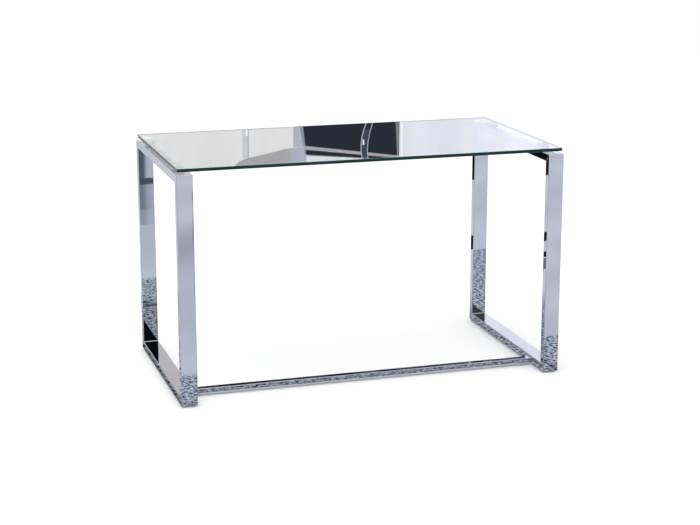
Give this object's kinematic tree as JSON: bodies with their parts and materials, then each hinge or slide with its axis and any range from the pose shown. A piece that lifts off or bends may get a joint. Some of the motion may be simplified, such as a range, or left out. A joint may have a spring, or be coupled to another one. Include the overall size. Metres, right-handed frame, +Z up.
{
  "type": "console table",
  "caption": "Rectangular clear glass top resting on clear disc spacers over chromed rectangular-tube end loops, tied near the floor by a front stretcher, on screw-adjustable feet.",
  "frame": {"origin": "on the floor, at the middle of the table", "axes": "+X along the length to the right, +Y to the back, +Z up"},
  "size_m": [1.22, 0.65, 0.725],
  "materials": {
    "clear_glass": "clear float glass, polished edges that look dark green",
    "clear_plastic": "clear moulded plastic",
    "chrome_tube": "mirror chrome plate",
    "raw_steel": "plain welded steel",
    "zinc_steel": "zinc plated thread",
    "black_screw": "black oxide",
    "black_plastic": "moulded, fine matt"
  },
  "bodies": {
    "table": {"glass_top": "clear_glass", "left_front_spacer": "clear_plastic", "left_front_leg": "chrome_tube", "left_rear_spacer": "clear_plastic", "left_rear_leg": "chrome_tube", "left_top_rail": "chrome_tube", "left_bottom_rail": "chrome_tube", "right_front_spacer": "clear_plastic", "right_front_leg": "chrome_tube", "right_rear_spacer": "clear_plastic", "right_rear_leg": "chrome_tube", "right_top_rail": "chrome_tube", "right_bottom_rail": "chrome_tube", "stretcher": "chrome_tube", "left_spigot": "raw_steel", "left_lock_screw": "black_screw", "left_front_foot_nut": "raw_steel", "left_rear_foot_nut": "raw_steel", "right_spigot": "raw_steel", "right_lock_screw": "black_screw", "right_front_foot_nut": "raw_steel", "right_rear_foot_nut": "raw_steel"},
    "left_front_foot": {"left_front_foot_stud": "zinc_steel", "left_front_foot_glide": "black_plastic"},
    "left_rear_foot": {"left_rear_foot_stud": "zinc_steel", "left_rear_foot_glide": "black_plastic"},
    "right_front_foot": {"right_front_foot_stud": "zinc_steel", "right_front_foot_glide": "black_plastic"},
    "right_rear_foot": {"right_rear_foot_stud": "zinc_steel", "right_rear_foot_glide": "black_plastic"}
  },
  "joints": [
    {"name": "left_front_foot_height", "type": "slide", "parent": "table", "child": "left_front_foot", "axis": [0, 0, -1], "range_m": [0, 0.008]},
    {"name": "left_rear_foot_height", "type": "slide", "parent": "table", "child": "left_rear_foot", "axis": [0, 0, -1], "range_m": [0, 0.008]},
    {"name": "right_front_foot_height", "type": "slide", "parent": "table", "child": "right_front_foot", "axis": [0, 0, -1], "range_m": [0, 0.008]},
    {"name": "right_rear_foot_height", "type": "slide", "parent": "table", "child": "right_rear_foot", "axis": [0, 0, -1], "range_m": [0, 0.008]}
  ]
}
